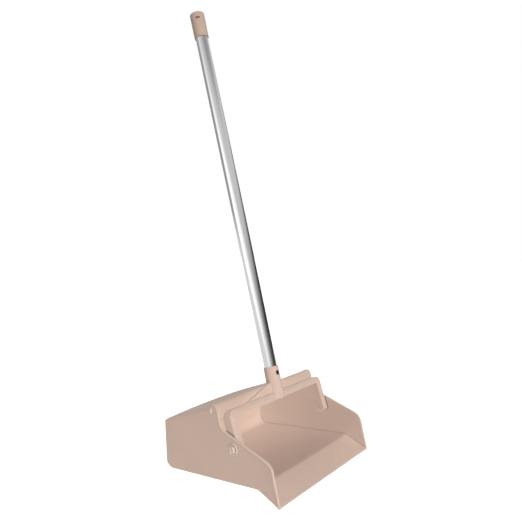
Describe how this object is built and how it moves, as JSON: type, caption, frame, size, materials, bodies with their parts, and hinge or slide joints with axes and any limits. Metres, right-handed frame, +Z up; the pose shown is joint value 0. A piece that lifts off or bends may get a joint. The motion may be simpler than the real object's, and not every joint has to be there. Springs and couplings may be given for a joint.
{
  "type": "long-handled dustpan",
  "caption": "Upright lobby dustpan: deep one-piece bin with a sloping ramp lip, hung on a swinging yoke with a straight tube handle and a slotted hand grip.",
  "frame": {"origin": "on the floor, under the middle of the whole object's bounding box", "axes": "+Z up, +X to the right of someone facing the mouth, +Y from the mouth towards the back of the pan"},
  "size_m": [0.2864, 0.2943, 0.8192],
  "materials": {
    "pan_plastic": "satin moulded polypropylene, beige-pink",
    "tube_aluminium": "satin drawn tube",
    "plug_plastic": "plain moulded",
    "screw_steel": "blackened steel"
  },
  "bodies": {
    "pan": {"pan_body": "pan_plastic"},
    "handle": {"yoke": "pan_plastic", "pivot_pin_left": "pan_plastic", "pivot_pin_right": "pan_plastic", "handle_tube": "tube_aluminium", "tube_plug": "plug_plastic", "tube_screw": "screw_steel", "hand_grip": "pan_plastic"}
  },
  "joints": [
    {"name": "handle_swing", "type": "hinge", "parent": "pan", "child": "handle", "pos_m": [0, -0.0569, 0.0675], "axis": [1, 0, 0], "range_deg": [0, 130]}
  ]
}
